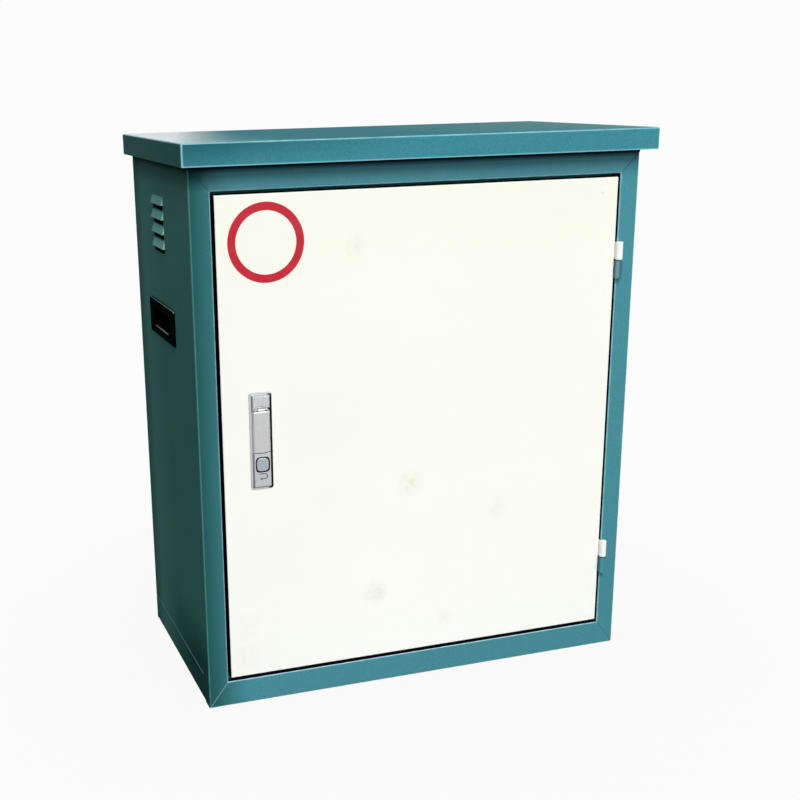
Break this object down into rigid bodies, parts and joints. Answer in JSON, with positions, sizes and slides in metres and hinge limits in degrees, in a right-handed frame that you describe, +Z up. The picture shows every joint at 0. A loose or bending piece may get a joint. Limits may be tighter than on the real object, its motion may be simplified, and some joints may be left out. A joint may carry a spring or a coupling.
{
  "type": "roadside utility cabinet",
  "caption": "Upright sheet-metal roadside utility cabinet with an overhanging flat roof, a flush hinged door with a lever lock, side louvers and recessed side grips.",
  "frame": {"origin": "middle of the footprint under the roof, at floor level", "axes": "+Z up, -Y towards the front with the door, +X to the right as seen from the front"},
  "size_m": [0.624, 0.347, 0.72],
  "materials": {
    "teal_paint": "semi-gloss teal green powder coat",
    "cream_paint": "satin off-white powder coat",
    "black_plastic": "satin black moulded plastic",
    "zinc_steel": "zinc-plated steel",
    "lock_metal": "satin chromed die casting",
    "seal_rubber": "foamed black seal",
    "hinge_brass": "plain brass"
  },
  "bodies": {
    "cabinet": {"left_side_panel": "teal_paint", "right_side_panel": "teal_paint", "bottom_pan": "teal_paint", "top_panel": "teal_paint", "back_panel": "teal_paint", "roof_cap": "teal_paint", "roof_rails": "teal_paint", "hinge_frame_knuckle_upper": "teal_paint", "hinge_frame_knuckle_lower": "teal_paint", "side_grip_left": "black_plastic", "side_grip_right": "black_plastic", "roof_bolts": "zinc_steel", "mounting_plate": "zinc_steel", "mounting_studs": "zinc_steel", "mounting_nuts": "zinc_steel", "gland_plate": "zinc_steel", "gland_screws": "zinc_steel", "earth_stud": "zinc_steel", "earth_nuts": "zinc_steel", "hinge_pin_upper": "zinc_steel", "hinge_pin_lower": "zinc_steel", "gland_gasket": "seal_rubber", "hinge_washer_upper": "hinge_brass", "hinge_washer_lower": "hinge_brass"},
    "door": {"door_panel": "cream_paint", "door_stiffener": "cream_paint", "door_gasket": "seal_rubber", "hinge_door_knuckle_upper": "cream_paint", "hinge_door_knuckle_lower": "cream_paint", "lock_housing": "lock_metal", "lock_clamp": "zinc_steel", "lock_clamp_screws": "zinc_steel"},
    "lock_turn": {"lock_spindle": "lock_metal", "lock_cam": "zinc_steel", "lock_cam_nut": "zinc_steel", "lever_pin": "zinc_steel"},
    "lock_lift": {"lock_lever": "lock_metal"},
    "lock_push": {"lock_button": "lock_metal"}
  },
  "joints": [
    {"name": "door_hinge", "type": "hinge", "parent": "cabinet", "child": "door", "pos_m": [0.2745, -0.153, 0.5524], "axis": [0, 0, 1], "range_deg": [0, 170]},
    {"name": "lock_turn", "type": "hinge", "parent": "door", "child": "lock_turn", "pos_m": [-0.22, -0.1485, 0.388], "axis": [0, -1, 0], "range_deg": [0, 90]},
    {"name": "lever_lift", "type": "hinge", "parent": "lock_turn", "child": "lock_lift", "pos_m": [-0.22, -0.1524, 0.3975], "axis": [-1, 0, 0], "range_deg": [0, 40]},
    {"name": "button_press", "type": "slide", "parent": "door", "child": "lock_push", "axis": [0, 1, 0], "range_m": [0, 0.0025], "stiffness_N_per_m": 800}
  ]
}
